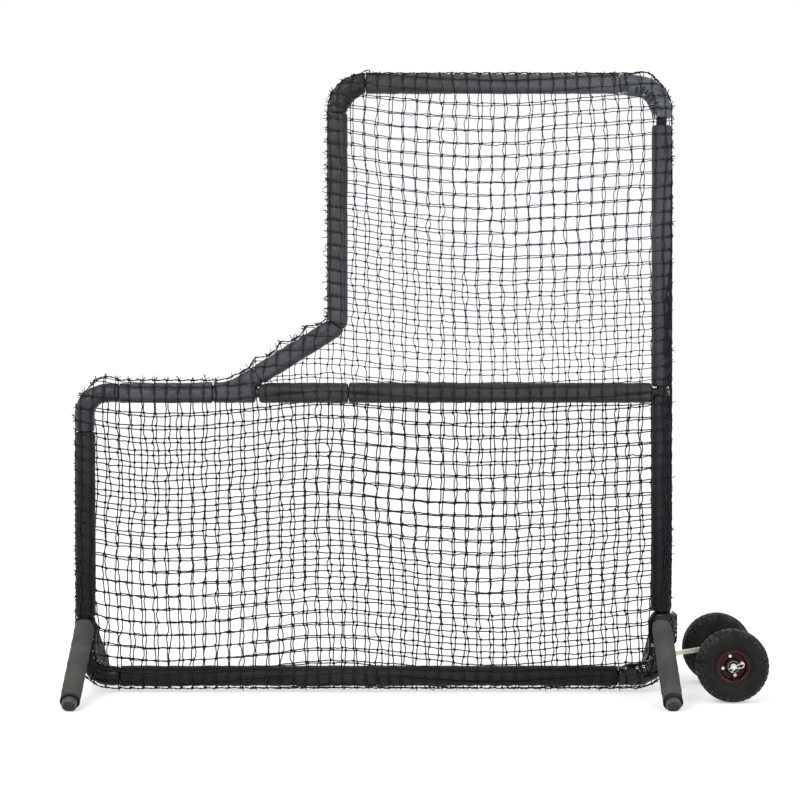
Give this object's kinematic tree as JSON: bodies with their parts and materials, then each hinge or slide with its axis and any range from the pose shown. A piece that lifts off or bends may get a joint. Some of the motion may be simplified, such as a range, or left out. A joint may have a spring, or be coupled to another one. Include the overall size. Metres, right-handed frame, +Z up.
{
  "type": "baseball l screen",
  "caption": "Padded tube frame in an L outline with a double net, sloped padded feet and a wheel carriage on one side.",
  "frame": {"origin": "centre of the bounding box's base, on the floor", "axes": "+X along the screen's width towards the wheels, +Y to the rear, +Z up"},
  "size_m": [2.4636, 0.7388, 2.222],
  "materials": {
    "frame_steel": "black powder coat",
    "zinc_steel": "bright zinc plate",
    "pad_vinyl": "vinyl cover over foam, satin",
    "corner_vinyl": "laced vinyl over foam, glossy",
    "leg_foam": "bare foam sleeve, matte",
    "cap_rubber": "moulded, satin",
    "net_twine": "knotted twine, matte",
    "tyre_rubber": "block tread, matte",
    "inner_tube_rubber": "smooth",
    "rim_paint": "dark red gloss paint"
  },
  "bodies": {
    "frame": {"axle": "zinc_steel", "bottom_rail_pad": "pad_vinyl", "bottom_rail_tube": "frame_steel", "crossbar_bolt": "zinc_steel", "crossbar_long_pad": "pad_vinyl", "crossbar_short_pad": "pad_vinyl", "crossbar_tube": "frame_steel", "front_axle_spacer": "zinc_steel", "front_cotter_pin": "zinc_steel", "front_left_leg_cap": "cap_rubber", "front_left_leg_sleeve": "leg_foam", "front_right_leg_cap": "cap_rubber", "front_right_leg_sleeve": "leg_foam", "left_foot_frame": "frame_steel", "left_post_pad": "pad_vinyl", "left_post_tube": "frame_steel", "lower_left_corner_pad": "corner_vinyl", "lower_left_corner_tube": "frame_steel", "lower_right_corner_pad": "corner_vinyl", "lower_right_corner_tube": "frame_steel", "lower_wheel_mount_bolt": "zinc_steel", "net_lower": "net_twine", "net_throat": "net_twine", "net_upper": "net_twine", "rear_axle_spacer": "zinc_steel", "rear_cotter_pin": "zinc_steel", "rear_left_leg_cap": "cap_rubber", "rear_left_leg_sleeve": "leg_foam", "rear_right_leg_cap": "cap_rubber", "rear_right_leg_sleeve": "leg_foam", "right_foot_frame": "frame_steel", "right_post_lower_pad": "pad_vinyl", "right_post_tube": "frame_steel", "right_post_upper_pad": "pad_vinyl", "shoulder_corner_pad": "corner_vinyl", "shoulder_corner_tube": "frame_steel", "shoulder_rail_pad": "pad_vinyl", "throat_pad": "pad_vinyl", "throat_tube": "frame_steel", "top_rail_pad": "pad_vinyl", "top_rail_tube": "frame_steel", "upper_left_corner_pad": "pad_vinyl", "upper_left_corner_tube": "frame_steel", "upper_left_post_pad": "pad_vinyl", "upper_left_post_tube": "frame_steel", "upper_right_corner_pad": "corner_vinyl", "upper_right_corner_tube": "frame_steel", "upper_wheel_mount_bolt": "zinc_steel", "wheel_arm": "zinc_steel", "wheel_mount_plate": "zinc_steel"},
    "front_wheel": {"front_hub_bearing": "zinc_steel", "front_inner_tube": "inner_tube_rubber", "front_rim_inner_half": "rim_paint", "front_rim_outer_half": "rim_paint", "front_tyre": "tyre_rubber"},
    "rear_wheel": {"rear_hub_bearing": "zinc_steel", "rear_inner_tube": "inner_tube_rubber", "rear_rim_inner_half": "rim_paint", "rear_rim_outer_half": "rim_paint", "rear_tyre": "tyre_rubber"}
  },
  "joints": [
    {"name": "front_wheel_spin", "type": "hinge", "parent": "frame", "child": "front_wheel", "pos_m": [1.1032, -0.18, 0.1286], "axis": [0, 1, 0], "continuous": true},
    {"name": "rear_wheel_spin", "type": "hinge", "parent": "frame", "child": "rear_wheel", "pos_m": [1.1032, 0.18, 0.1286], "axis": [0, 1, 0], "continuous": true}
  ]
}
